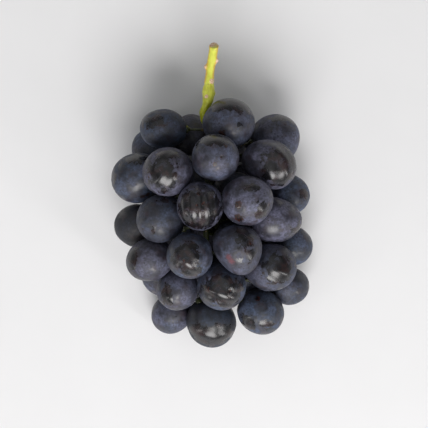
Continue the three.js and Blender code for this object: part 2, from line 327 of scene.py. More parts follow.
class GrapeStageProps(bpy.types.PropertyGroup):
    """The floor, the lights and the camera."""

    floor: bpy.props.FloatVectorProperty(
        name="Floor", description="Colour of the floor", default=colour("E6E6E6"), subtype="COLOR"
    )
    floor_size: bpy.props.FloatProperty(
        name="Floor size", description="Side of the square floor", default=3.2, unit="LENGTH"
    )
    walls: bpy.props.FloatProperty(
        name="Walls", description="Brightness of the room at the height of the floor", default=0.38
    )
    beyond: bpy.props.FloatProperty(
        name="Beyond", description="Brightness of what lies past the floor's edge", default=0.74
    )
    ceiling: bpy.props.FloatProperty(
        name="Ceiling", description="Brightness of the room overhead", default=0.08
    )
    lens: bpy.props.FloatProperty(
        name="Lens", description="Focal length of the camera", default=135.0, unit="CAMERA"
    )
    seen_width: bpy.props.FloatProperty(
        name="Seen width",
        description="Width that the camera sees at the height of the upper berries",
        default=269.6 * MM,
        unit="LENGTH",
    )
    key_power: bpy.props.FloatProperty(
        name="Key light", description="Power of the broad soft light", default=114.0, unit="POWER"
    )
    fill_power: bpy.props.FloatProperty(
        name="Fill light", description="Power of the overhead fill", default=12.0, unit="POWER"
    )


def add(tree, kind, inputs=None, **settings):
    """Adds a node, sets its properties, and gives each input a value or a link.

    An input that is given a node takes that node's first output in use."""
    made = tree.nodes.new(kind)
    for name, value in settings.items():
        setattr(made, name, value)
    for name, value in (inputs or {}).items():
        if isinstance(value, bpy.types.Node):
            value = next(socket for socket in value.outputs if socket.enabled)
        if isinstance(value, bpy.types.NodeSocket):
            tree.links.new(value, made.inputs[name])
        else:
            made.inputs[name].default_value = value
    return made


def new_material(name):
    """An empty material with its node tree and its output node."""
    material = bpy.data.materials.new(name)
    material.use_nodes = True
    tree = material.node_tree
    tree.nodes.clear()
    return material, tree, add(tree, "ShaderNodeOutputMaterial")


# Settings that nodes share: a soft step, a mix of two colours, and a colour darkened by a tone.
# A soft step reads 0: the value, 1 and 2: where it starts and ends, 3 and 4: from what to what.
# A mix reads 0: how much of the second colour, 6: the first colour, 7: the second.
SOFT = {"interpolation_type": "SMOOTHSTEP"}
MIXED = {"data_type": "RGBA"}
TONED = {"data_type": "RGBA", "blend_type": "MULTIPLY"}


def bloomed_skin(props):
    """Ripe black grape skin under its bloom.

    A grape's skin is smooth and nearly black, and grows a coat of fine wax plates that scatter
    light: that is the grey-blue, matte bloom. Where berries rub together or are handled, the wax
    is polished off, and the bare skin reflects its surroundings sharply."""
    material, tree, output = new_material("bloomed_grape_skin")
    place = add(tree, "ShaderNodeTexCoord").outputs["Object"]
    rubbed, tone, cool, scab, flush = (
        add(tree, "ShaderNodeAttribute", attribute_name=name).outputs["Fac"]
        for name in ("rubbed", "tone", "cool", "scab", "flush")
    )

    # Blotches of each kind: their size in millimetres, detail, roughness and distortion.
    blotches = {
        "ragged": (4.5, 2.0, 0.5, 0.6),
        "fine": (1.3, 2.0, 0.55, 0.0),
        "scuffed": (2.8, 3.0, 0.62, 0.8),
        "streaked": (4.2, 2.0, 0.5, 1.6),
        "thick": (8.0, 3.0, 0.55, 0.0),
        "hue": (13.0, 2.0, 0.55, 0.0),
        "mottled": (1.6, 4.0, 0.7, 0.0),
        "ripe": (6.0, 2.0, 0.55, 0.0),
        "pebbled": (1.1, 3.0, 0.55, 0.0),
        "dimpled": (4.2, 2.0, 0.55, 0.0),
    }
    noise = {}
    for name, (size, detail, rough, twist) in blotches.items():
        inputs = {"Vector": place, "Scale": 1 / (size * MM), "Detail": detail}
        inputs.update({"Roughness": rough, "Distortion": twist})
        noise[name] = add(tree, "ShaderNodeTexNoise", inputs)

    # Rubbed patches: the drawn ones with an uneven edge, and small scuffs anywhere.
    worn = {0: noise["ragged"], 1: 0.75, 2: rubbed}
    worn = {0: noise["fine"], 1: 0.28, 2: add(tree, "ShaderNodeMath", worn, operation="MULTIPLY_ADD")}
    worn = add(tree, "ShaderNodeMath", worn, operation="MULTIPLY_ADD")
    bare = add(tree, "ShaderNodeMapRange", {0: worn, 1: 0.965, 2: 1.115}, **SOFT)
    scuffs = add(tree, "ShaderNodeMapRange", {0: noise["scuffed"], 1: 0.54, 2: 0.76, 4: 0.7}, **SOFT)
    bare = add(tree, "ShaderNodeMath", {0: bare, 1: scuffs}, operation="MAXIMUM")
    # Even a polished patch keeps a trace of wax in streaks.
    trace = add(tree, "ShaderNodeMapRange", {0: noise["streaked"], 1: 0.46, 2: 0.66, 4: 0.2}, **SOFT)
    wax = add(tree, "ShaderNodeMath", {0: 1.0, 1: bare}, operation="SUBTRACT")
    wax = add(tree, "ShaderNodeMath", {0: wax, 1: trace}, operation="MAXIMUM")
    thick = add(tree, "ShaderNodeMapRange", {0: noise["thick"], 1: 0.36, 2: 0.64, 3: 0.25}, **SOFT)
    wax = add(tree, "ShaderNodeMath", {0: wax, 1: thick}, operation="MULTIPLY")

    # Colours of the wax, lilac to blue and mottled, and of the skin under it.
    cool = add(tree, "ShaderNodeMath", {0: noise["hue"], 1: cool}, operation="ADD")
    cool = add(tree, "ShaderNodeMapRange", {0: cool, 1: 0.6, 2: 1.4}, **SOFT)
    shades = {6: opaque(props.bloom), 7: opaque(props.cool_bloom)}
    bloom = add(tree, "ShaderNodeMix", {0: cool, **shades}, **MIXED)
    mottle = {0: noise["mottled"], 1: 0.3, 2: 0.72, 3: 0.46, 4: 1.42}
    mottle = add(tree, "ShaderNodeMapRange", mottle, **SOFT)
    mottle = add(tree, "ShaderNodeMath", {0: mottle, 1: tone}, operation="MULTIPLY")
    bloom = add(tree, "ShaderNodeMix", {0: 1.0, 6: bloom, 7: mottle}, **TONED)
    warm = add(tree, "ShaderNodeMapRange", {0: noise["ripe"], 1: 0.46, 2: 0.68}, **SOFT)
    shades = {6: opaque(props.skin), 7: opaque(props.warm_skin)}
    skin = add(tree, "ShaderNodeMix", {0: warm, **shades}, **MIXED)
    paint = add(tree, "ShaderNodeMix", {0: wax, 6: skin, 7: bloom}, **MIXED)

    # Fine dark breathing pores in cells of 2.5 mm, and in some cells of 11 mm a larger dark spot
    # or the ring that a dried drop leaves.
    pores = add(tree, "ShaderNodeTexVoronoi", {"Vector": place, "Scale": 1 / (2.5 * MM)})
    pick = add(tree, "ShaderNodeSeparateColor", {0: pores.outputs["Color"]})
    rare = add(tree, "ShaderNodeMapRange", {0: pick, 1: 0.44, 2: 0.5}, **SOFT)
    pore = {0: pores.outputs["Distance"], 1: 0.12, 2: 0.26, 3: 0.85, 4: 0.0}
    pore = add(tree, "ShaderNodeMapRange", pore, **SOFT)
    pore = add(tree, "ShaderNodeMath", {0: pore, 1: rare}, operation="MULTIPLY")
    drops = add(tree, "ShaderNodeTexVoronoi", {"Vector": place, "Scale": 1 / (11 * MM)})
    far = drops.outputs["Distance"]
    pick = add(tree, "ShaderNodeSeparateColor", {0: drops.outputs["Color"]})
    ringed = add(tree, "ShaderNodeMapRange", {0: pick.outputs[1], 1: 0.62, 2: 0.66}, **SOFT)
    ring = add(tree, "ShaderNodeMath", {0: far, 1: 0.13}, operation="SUBTRACT")
    ring = add(tree, "ShaderNodeMath", {0: ring}, operation="ABSOLUTE")
    ring = add(tree, "ShaderNodeMapRange", {0: ring, 1: 0.02, 2: 0.05, 3: 0.6, 4: 0.0}, **SOFT)
    ring = add(tree, "ShaderNodeMath", {0: ring, 1: ringed}, operation="MULTIPLY")
    spotted = add(tree, "ShaderNodeMapRange", {0: pick.outputs[2], 1: 0.6, 2: 0.64}, **SOFT)
    spot = add(tree, "ShaderNodeMapRange", {0: far, 1: 0.07, 2: 0.12, 3: 0.85, 4: 0.0}, **SOFT)
    spot = add(tree, "ShaderNodeMath", {0: spot, 1: spotted}, operation="MULTIPLY")
    marks = add(tree, "ShaderNodeMath", {0: pore, 1: ring}, operation="MAXIMUM")
    marks = add(tree, "ShaderNodeMath", {0: marks, 1: spot}, operation="MAXIMUM")
    paint = add(tree, "ShaderNodeMix", {0: marks, 6: paint, 7: opaque("pore")}, **MIXED)

    # The brown corky scabs, with a ragged edge, and the pink flush.
    edge = {0: noise["fine"], 1: 0.7, 2: scab}
    edge = add(tree, "ShaderNodeMath", edge, operation="MULTIPLY_ADD")
    cork = add(tree, "ShaderNodeMapRange", {0: edge, 1: 0.77, 2: 0.95}, **SOFT)
    raw = add(tree, "ShaderNodeMapRange", {0: noise["fine"], 1: 0.42, 2: 0.66}, **SOFT)
    shades = {6: opaque("scab"), 7: opaque("raw scab")}
    crust = add(tree, "ShaderNodeMix", {0: raw, **shades}, **MIXED)
    paint = add(tree, "ShaderNodeMix", {0: cork, 6: paint, 7: crust}, **MIXED)
    blush = add(tree, "ShaderNodeMath", {0: noise["fine"], 1: flush}, operation="ADD")
    blush = add(tree, "ShaderNodeMapRange", {0: blush, 1: 0.74, 2: 1.5, 4: 0.62}, **SOFT)
    paint = add(tree, "ShaderNodeMix", {0: blush, 6: paint, 7: opaque("flush")}, **MIXED)

    # Bare skin and scabs shine; thick wax doesn't.
    rough = add(tree, "ShaderNodeMapRange", {0: wax, 1: 0.05, 2: 0.6, 3: 0.26, 4: 0.7}, **SOFT)
    rough = add(tree, "ShaderNodeMath", {0: cork, 1: -0.2, 2: rough}, operation="MULTIPLY_ADD")

    # Wrinkles too small to model: wax mottling, ripples of bare skin, and scabs that stand proud.
    relief = {0: noise["pebbled"], 1: 0.25, 2: noise["dimpled"]}
    relief = add(tree, "ShaderNodeMath", relief, operation="MULTIPLY_ADD")
    relief = add(tree, "ShaderNodeMath", {0: cork, 1: 1.2, 2: relief}, operation="MULTIPLY_ADD")
    bump = add(tree, "ShaderNodeBump", {"Strength": 0.35, "Distance": 0.16 * MM, "Height": relief})

    shader = add(
        tree,
        "ShaderNodeBsdfPrincipled",
        {
            "Base Color": paint,
            "Roughness": rough,
            "Normal": bump,
            "IOR": 1.56,
            "Coat Weight": 0.12,
            "Coat Roughness": 0.4,
            "Coat IOR": 1.45,
            "Sheen Weight": 0.3,
            "Sheen Roughness": 0.08,
            "Sheen Tint": opaque("wax sheen"),
        },
    )
    tree.links.new(shader.outputs[0], output.inputs["Surface"])
    return material


def green_stalk(props):
    """Fresh grape stalk: a smooth green rind with fine ribs, dotted with cork.

    The rind is waxy enough for a soft shine. Its sides, as seen from above, are painted a warm orange
    as edge shade; deep inside the bunch it is painted a dark green as shade; and warts, scars and
    the cut end dry to a pale pinkish brown."""
    material, tree, output = new_material("green_grape_stalk")
    place = add(tree, "ShaderNodeTexCoord").outputs["Object"]
    # The marks: deep, the older green and then the painted shade inside the bunch; cork; and blush,
    # the painted edge shade on the stalk's sides as seen from above.
    deep, corky, edge_shade = (
        add(tree, "ShaderNodeAttribute", attribute_name=name).outputs["Fac"]
        for name in ("deep", "cork", "blush")
    )

    # Ribs 0.9 mm apart, six times as long along the stalk, blotches of 5 mm, and grains of cork.
    along = add(tree, "ShaderNodeMapping", {"Vector": place, "Scale": (1.0, 0.16, 1.0)})
    look = {"Detail": 3.0, "Roughness": 0.55}
    ribs = add(tree, "ShaderNodeTexNoise", {"Vector": along, "Scale": 1 / (0.9 * MM), **look})
    blotch = add(tree, "ShaderNodeTexNoise", {"Vector": place, "Scale": 1 / (5 * MM), **look})
    grains = add(tree, "ShaderNodeTexNoise", {"Vector": place, "Scale": 1 / (0.9 * MM), **look})

    # Fresh green runs to older green and, inside the bunch, to a dark green that is painted shade;
    # the stalk's sides, as seen from above, take a warm orange that is painted edge shade.
    tone = add(tree, "ShaderNodeMath", {0: blotch, 1: 1.15, 2: deep}, operation="MULTIPLY_ADD")
    tone = add(tree, "ShaderNodeMath", {0: ribs, 1: 0.8, 2: tone}, operation="MULTIPLY_ADD")
    older = add(tree, "ShaderNodeMapRange", {0: tone, 1: 0.78, 2: 1.56}, **SOFT)
    shades = {6: opaque(props.fresh), 7: opaque(props.deep)}
    paint = add(tree, "ShaderNodeMix", {0: older, **shades}, **MIXED)
    # Painted shade: past the older green, the branches deep inside the bunch turn a dark green.
    shade_share = add(tree, "ShaderNodeMapRange", {0: tone, 1: 1.655, 2: 1.975}, **SOFT)
    paint = add(tree, "ShaderNodeMix", {0: shade_share, 6: paint, 7: opaque(props.painted_shade)}, **MIXED)
    # Painted edge shade: a blotched warm orange on the stalk's sides as seen from above.
    warm = add(tree, "ShaderNodeMath", {0: blotch, 1: 1.9, 2: edge_shade}, operation="MULTIPLY_ADD")
    warm = add(tree, "ShaderNodeMapRange", {0: warm, 1: 1.05, 2: 2.0, 4: 0.65}, **SOFT)
    paint = add(tree, "ShaderNodeMix", {0: warm, 6: paint, 7: opaque("painted edge shade")}, **MIXED)

    # Cork dots in some cells of 1.9 mm, then the dried warts, scars and cut.
    dots = add(tree, "ShaderNodeTexVoronoi", {"Vector": place, "Scale": 1 / (1.9 * MM)})
    pick = add(tree, "ShaderNodeSeparateColor", {0: dots.outputs["Color"]})
    rare = add(tree, "ShaderNodeMapRange", {0: pick, 1: 0.6, 2: 0.64}, **SOFT)
    dot = {0: dots.outputs["Distance"], 1: 0.12, 2: 0.24, 3: 0.6, 4: 0.0}
    dot = add(tree, "ShaderNodeMapRange", dot, **SOFT)
    dot = add(tree, "ShaderNodeMath", {0: dot, 1: rare}, operation="MULTIPLY")
    paint = add(tree, "ShaderNodeMix", {0: dot, 6: paint, 7: opaque(props.cork)}, **MIXED)
    edge = add(tree, "ShaderNodeMath", {0: ribs, 1: 0.35, 2: corky}, operation="MULTIPLY_ADD")
    cork = add(tree, "ShaderNodeMapRange", {0: edge, 1: 0.525, 2: 0.825}, **SOFT)
    pale = add(tree, "ShaderNodeMapRange", {0: grains, 1: 0.35, 2: 0.65}, **SOFT)
    shades = {6: opaque(props.cork), 7: opaque("dried rind")}
    dried = add(tree, "ShaderNodeMix", {0: pale, **shades}, **MIXED)
    paint = add(tree, "ShaderNodeMix", {0: cork, 6: paint, 7: dried}, **MIXED)

    rough = add(tree, "ShaderNodeMapRange", {0: cork, 1: 0.0, 2: 1.0, 3: 0.42, 4: 0.75}, **SOFT)
    relief = add(tree, "ShaderNodeMath", {0: dot, 1: 0.8, 2: ribs}, operation="MULTIPLY_ADD")
    bump = add(tree, "ShaderNodeBump", {"Strength": 0.5, "Distance": 0.12 * MM, "Height": relief})
    inputs = {"Base Color": paint, "Roughness": rough, "Normal": bump, "IOR": 1.45}
    shader = add(tree, "ShaderNodeBsdfPrincipled", inputs)
    tree.links.new(shader.outputs[0], output.inputs["Surface"])
    return material


def pale_floor(props):
    """Matte painted board: a plain pale floor with the faintest unevenness of tone."""
    material, tree, output = new_material("matte_painted_board")
    place = add(tree, "ShaderNodeTexCoord").outputs["Object"]
    inputs = {"Vector": place, "Scale": 1 / (60 * MM), "Detail": 3.0, "Roughness": 0.55}
    rolled = add(tree, "ShaderNodeTexNoise", inputs)
    tone = add(tree, "ShaderNodeMapRange", {0: rolled, 1: 0.3, 2: 0.7, 3: 0.985}, **SOFT)
    paint = add(tree, "ShaderNodeMix", {0: 1.0, 6: opaque(props.floor), 7: tone}, **TONED)
    shader = add(tree, "ShaderNodeBsdfPrincipled", {"Base Color": paint, "Roughness": 0.7})
    tree.links.new(shader.outputs[0], output.inputs["Surface"])
    return material


def unit(vectors):
    """Vectors scaled to a length of 1, along their last axis."""
    vectors = np.asarray(vectors, float)
    return vectors / np.linalg.norm(vectors, axis=-1, keepdims=True)


def hill(x, middle, width):
    """A round hill over x: the exponential of minus the square of (x less middle) over width."""
    return np.exp(-(((x - middle) / width) ** 2))


def smooth_step(x, low, high):
    """0 at low, 1 at high, and a smooth cubic rise between them; high may be the lesser."""
    x = np.clip((x - low) / (high - low), 0, 1)
    return x * x * (3 - 2 * x)


def corners(node):
    """The corners of a CAD node, each once, and its faces as rows of three of their numbers."""
    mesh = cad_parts[node].data
    points = np.empty(3 * len(mesh.vertices))
    mesh.vertices.foreach_get("co", points)
    mesh.calc_loop_triangles()
    faces = np.empty(3 * len(mesh.loop_triangles), int)
    mesh.loop_triangles.foreach_get("vertices", faces)
    tidy = np.round(points.reshape(-1, 3), 7)
    once, where = np.unique(tidy, axis=0, return_inverse=True)
    return once, where.reshape(-1)[faces.reshape(-1, 3)]


STEM_SHAPE = corners(STEM)


def middle_of(points):
    """The middle of the ball that fits the points best, with the pressed-in ones left out.

    A ball |p - c| = r is the same as 2 p.c + (r^2 - c.c) = p.p, which is linear in c and in the
    bracket, so least squares give both. Points that lie inside the ball are then dropped, and
    the fit is done again."""
    kept = points
    for _ in range(4):
        sums = np.column_stack([2 * kept, np.ones(len(kept))])
        answer = np.linalg.lstsq(sums, (kept**2).sum(1), rcond=None)[0]
        centre = answer[:3]
        radius = math.sqrt(answer[3] + centre @ centre)
        out = np.linalg.norm(points - centre, axis=1) - radius
        kept = points[out > -PRESSED_IN]
    return centre


def foot_way(centre, reach):
    """The way from a berry's middle to its foot: opposite to the stem face that it sits against.

    Of the stem's faces that lie against the berry and look at its middle, the cushion's are the
    widest flat spot, so the berry's axis is the normal that most of their area shares."""
    points, faces = STEM_SHAPE
    first, second, third = (points[faces[:, i]] for i in range(3))
    normal = np.cross(second - first, third - first)
    area = np.linalg.norm(normal, axis=1) / 2
    normal = normal / (2 * area[:, None] + 1e-18)
    out = (first + second + third) / 3 - centre
    far = np.linalg.norm(out, axis=1)
    facing = -(normal * out).sum(1) / far
    near = (far < reach + CUSHION_REACH) & (facing > LOOKS_AT_MIDDLE)
    normal, area = normal[near], area[near]
    alike = normal @ normal.T > ONE_FLAT
    flat = alike[np.argmax(alike @ area)]
    return unit(-(normal[flat] * area[flat, None]).sum(0))


def square_to(way):
    """Two directions square to a way and to each other."""
    side = unit(np.cross(way, (0, 0, 1) if abs(way[2]) < 0.9 else (1, 0, 0)))
    return side, np.cross(way, side)


def bumps(directions, spots):
    """How deep each direction lies in the nearest of some round or oval spots, times its strength.

    It is 1 at a spot's middle, 0.5 on its edge and 0 well outside it. The edge is an ellipse in
    the two angles, across and along, that a direction makes with the spot's middle."""
    best = np.zeros(len(directions))
    for way, across, along, strength in spots:
        way = unit(way)
        side = unit(np.cross((0, 1, 0), way))
        up = np.cross(way, side)
        out = np.arccos(np.clip(directions @ way, -1, 1))
        turn = np.hypot(directions @ side, directions @ up) + 1e-9
        x = out * (directions @ side) / turn / math.radians(across)
        y = out * (directions @ up) / turn / math.radians(along)
        inside = 0.5 + (1 - np.hypot(x, y)) / SPOT_FADE
        best = np.maximum(best, np.clip(inside, 0, 1) * strength)
    return best


def uneven(directions, rng, lowest, highest, count):
    """A smooth random field on the ball, about -1 to 1: a sum of plane waves of random heading,
    with from lowest to highest radians of phase across one radius."""
    heading = unit(rng.normal(size=(count, 3)))
    pace = rng.uniform(lowest, highest, count)
    phase = rng.uniform(0, 2 * np.pi, count)
    return np.cos(directions @ (heading * pace[:, None]).T + phase).sum(1) / math.sqrt(count)


def soft_radius(directions, corner_ways, corner_reach, softness):
    """How far the skin lies from the middle in each direction, drawn through the CAD corners.

    The mean reach is kept, and what each corner differs from it is spread by a round hill of the
    given softness; the hills' heights solve a linear system, so that their sum meets the corners."""
    mean = corner_reach.mean()
    sharp = 1 / (2 * (1 - math.cos(softness)))
    near = np.exp(2 * sharp * (corner_ways @ corner_ways.T - 1))
    heights = np.linalg.solve(near + SKIN_EASE * np.eye(len(near)), corner_reach - mean)
    return mean + np.exp(2 * sharp * (directions @ corner_ways.T - 1)) @ heights


def berry_shape(node, props):
    """The skin of one berry as a grid over two angles, and its marks at each point.

    A point lies in direction (t, p) from the berry's middle, where t runs from 0 at the foot to pi
    at the tip and p round the axis. Its distance is the soft radius through the CAD corners, plus
    gentle unevenness, a sunken dot at the tip, a slight rim round the foot, dents where it is
    rubbed, and the berry's own waves and swellings."""
    points, _ = corners(node)
    rng = np.random.default_rng(int(node.split("_")[1]))
    centre = middle_of(points)
    out = points - centre
    reach = np.linalg.norm(out, axis=1)
    foot = foot_way(centre, reach.max())
    side, other = square_to(foot)

    t = np.linspace(0, np.pi, props.rings + 1)[1:-1]
    p = np.arange(props.around) * (2 * np.pi / props.around)
    t, p = (grid.ravel() for grid in np.meshgrid(t, p, indexing="ij"))
    t = np.concatenate([[0.0], t, [np.pi]])
    p = np.concatenate([[0.0], p, [0.0]])
    ways = (
        np.cos(t)[:, None] * foot
        + (np.sin(t) * np.cos(p))[:, None] * side
        + (np.sin(t) * np.sin(p))[:, None] * other
    )

    radius = soft_radius(ways, out / reach[:, None], reach, props.softness)
    radius += props.ripple * uneven(ways, rng, *GENTLE_WAVES)
    radius += FINE_SHARE * props.ripple * uneven(ways, rng, *FINE_WAVES)
    tip = np.pi - t
    radius -= props.tip_scar * hill(tip, *SCAR)
    radius += LIP_SHARE * props.tip_scar * hill(tip, *SCAR_LIP)
    radius += RIM_HEIGHT * hill(t, *FOOT_RIM)

    spots = RUBBED.get(node)
    if spots is None:
        lean = unit(-foot + TIP_LEAN * rng.normal(size=3))
        wide = rng.uniform(*TIP_PATCH)
        long = wide * rng.uniform(*TIP_PATCH_LENGTH)
        spots = [(lean, wide, long, rng.uniform(*TIP_PATCH_STRENGTH))]
    rubbed = bumps(ways, spots)
    radius += props.dent * rubbed * uneven(ways, rng, *DENT_WAVES)
    if node in WAVES:
        heading, pace, high, bend = WAVES[node]
        phase = pace * (ways @ unit(heading)) + 2 * bend * uneven(ways, rng, *BENDING_WAVES)
        radius += high * MM * rubbed * np.cos(phase)
    for way, high in SWOLLEN.get(node, []):
        radius += high * MM * np.exp(SWELL_FALL * (ways @ unit(way) - 1))
    scabs = [(way, size, size, 1.0) for way, size in SCABS.get(node, [])]
    flush = [(way, size, size, 1.0) for way, size in FLUSHED.get(node, [])]
    tone, cool = CHARACTER.get(node, (rng.uniform(*ANY_TONE), rng.uniform(*ANY_COOL)))
    marks = {
        "rubbed": rubbed,
        "tone": np.full(len(ways), tone),
        "cool": np.full(len(ways), cool),
        "scab": np.maximum(bumps(ways, scabs), 0.9 * (tip < CORKY_SCAR)),
        "flush": bumps(ways, flush),
    }
    placed = centre + radius[:, None] * ways
    placed[:, 2] = np.maximum(placed[:, 2], 0.0)
    return placed, marks


def ball_faces(rings, around):
    """Faces of a grid of points closed at both ends: a fan at each pole and four-sided rows."""
    rows = rings - 1
    number = 1 + np.arange(rows * around).reshape(rows, around)
    across = np.roll(number, -1, axis=1)
    quads = np.stack([number[:-1], number[1:], across[1:], across[:-1]], -1).reshape(-1, 4)
    last = rows * around + 1
    foot = np.stack([np.zeros(around, int), number[0], across[0]], -1)
    tip = np.stack([np.full(around, last), across[-1], number[-1]], -1)
    return foot.tolist() + quads.tolist() + tip.tolist()


def make_piece(name, points, faces, material, marks):
    """A smooth mesh object at the origin, with its marks as point attributes, that rides on root."""
    mesh = bpy.data.meshes.new(name)
    mesh.from_pydata(points.tolist(), [], faces)
    mesh.polygons.foreach_set("use_smooth", [True] * len(mesh.polygons))
    for mark, values in marks.items():
        layer = mesh.attributes.new(mark, "FLOAT", "POINT")
        layer.data.foreach_set("value", np.ascontiguousarray(values, dtype=np.float32))
    mesh.materials.append(material)
    mesh.update()
    piece = bpy.data.objects.new(name, mesh)
    bpy.context.scene.collection.objects.link(piece)
    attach(piece, "root")
    return piece


class GRAPES_OT_berries(bpy.types.Operator):
    """Draws every berry's skin through the corners of its CAD solid."""

    bl_idname = "grapes.berries"
    bl_label = "Make the berries"

    def execute(self, context):
        props = context.scene.grape_berries
        material = bloomed_skin(props)
        faces = ball_faces(props.rings, props.around)
        for node in BERRIES:
            points, marks = berry_shape(node, props)
            piece = make_piece(f"{node}_skin", points, faces, material, marks)
            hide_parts(node)
        return {"FINISHED"}


def rebuilt_stem(props):
    """The CAD stem's corners merged, rebuilt as even faces of the given grain, as arrays."""
    points, faces = STEM_SHAPE
    mesh = bpy.data.meshes.new("stem_rough")
    mesh.from_pydata(points.tolist(), [], faces.tolist())
    rough = bpy.data.objects.new("stem_rough", mesh)
    bpy.context.scene.collection.objects.link(rough)
    remesh = rough.modifiers.new("even", "REMESH")
    remesh.mode = "VOXEL"
    remesh.voxel_size = props.grain
    remesh.adaptivity = 0.0
    even = rough.evaluated_get(bpy.context.evaluated_depsgraph_get()).to_mesh()
    out = np.empty(3 * len(even.vertices))
    even.vertices.foreach_get("co", out)
    loops = np.empty(len(even.loops), int)
    even.loops.foreach_get("vertex_index", loops)
    quads = loops.reshape(-1, 4)
    bpy.data.objects.remove(rough)
    bpy.data.meshes.remove(mesh)
    return out.reshape(-1, 3), quads


def faired(points, quads, passes):
    """Points moved towards the mean of their neighbours and back, which rounds off facets and keeps
    the thickness: each pass goes 0.5 of the way to that mean, and then -0.53 of it."""
    pairs = np.concatenate([quads[:, [i, (i + 1) % 4]] for i in range(4)])
    count = np.zeros(len(points))
    np.add.at(count, pairs.ravel(), 1)
    for share in (0.5, -0.53) * passes:
        total = np.zeros_like(points)
        np.add.at(total, pairs[:, 0], points[pairs[:, 1]])
        np.add.at(total, pairs[:, 1], points[pairs[:, 0]])
        points = points + share * (total / count[:, None] - points)
    return points


# The last stretch before the cut, which says nothing of the stalk's girth.
CUT_STRETCH = 1.5 * MM
STALK_SLICES = 25

# Warts and scars of the stalk: distance from the cut in millimetres, degrees round it from its
# upper side towards +X, half-width and height in millimetres, and how corky the mark is.
STALK_MARKS = (
    (10.6, 78, 1.6, 1.35, 1.0),
    (14.3, -82, 1.6, 1.5, 1.0),
    (23.6, 34, 1.8, 0.5, 1.0),
    (33.2, -18, 1.3, 0.3, 0.95),
    (32.6, -14, 0.5, -0.5, 1.0),
    (19.0, 140, 1.0, 0.6, 0.8),
    (38.0, 150, 1.2, 0.5, 0.9),
    (16.0, -150, 0.8, 0.35, 0.8),
)

# Swellings of the stalk at its knuckle, and the crease before it: distance from the cut, half-length
# and height in millimetres, and the side that each is on.
SWELLINGS = (
    (29.5, 2.6, 0.45, "towards -X"),
    (31.0, 1.7, 0.8, "only +X"),
    (25.3, 0.8, -0.3, "all round"),
    (38.0, 5.0, 1.0, "towards +X"),
)

# Where the redrawn stalk meets the CAD one: over what length they blend, and how far from its middle
# line a point still belongs to it.
BLEND_LENGTH = 7 * MM
STALK_CLEAR = 8 * MM
# The rind: how many ribs, how far they twist along a millimetre, and the heights of the ribs and of
# the slow and fine unevenness, against the radius. The unevenness is measured in these lengths.
RIBS, TWIST = 7, 0.12
RIB_HEIGHT, SLOW_HEIGHT, FINE_HEIGHT = 0.018, 0.028, 0.008
GIRTH, REACH_ALONG = 2.6 * MM, 7 * MM
# The cut: where its face lies behind the furthest point, how far back its slant is felt
# (millimetres), how far it is drawn back, its slope, the rim just inside its edge (shares of the
# radius), and the heights of that rim, of the hollow and of its roughness.
CUT_FACE = (-0.75 * MM, -0.3 * MM)
SLANT_FELT = (5.5, 0.3)
DRAWN_BACK, SLOPE = 0.6 * MM, 0.62
CUT_RIM = (0.86, 0.12)
CUT_HEIGHTS = {"rim": 0.35 * MM, "hollow": 0.55 * MM, "rough": 0.12 * MM}
# A torn tag on the cut's rim: its angle and width in radians, and its height.
TAG, TAG_HEIGHT = (2.3, 0.35), 1.0 * MM
# Colours along the stalk, in millimetres from the cut: from where to where it grows older, then
# where it is painted dark green as shade, where its sides take the painted edge shade, and where
# the cut is corky.
OLDER, PAINTED_SHADE, EDGE_SHADE, CORKY = (22, 54), (46, 60), (32, 22), (1.2, 0.2)


def stalk_frame(points, start):
    """The free stalk's middle line and mean radius, as polynomials of y, beyond y = start."""
    free = points[points[:, 1] > start]
    edges = np.linspace(start, free[:, 1].max() - CUT_STRETCH, STALK_SLICES + 1)
    slot = np.digitize(free[:, 1], edges)
    slices = [free[slot == i] for i in range(1, len(edges))]
    y = np.array([part[:, 1].mean() for part in slices])
    middle = np.array([(part.min(0) + part.max(0)) / 2 for part in slices])
    line = [np.polynomial.Polynomial.fit(y, middle[:, i], 4) for i in (0, 2)]
    girth = []
    for part in slices:
        across, up = (part[:, i] - curve(part[:, 1]) for i, curve in zip((0, 2), line))
        girth.append(np.median(np.hypot(across, up)))
    return line, np.polynomial.Polynomial.fit(y, girth, 6)


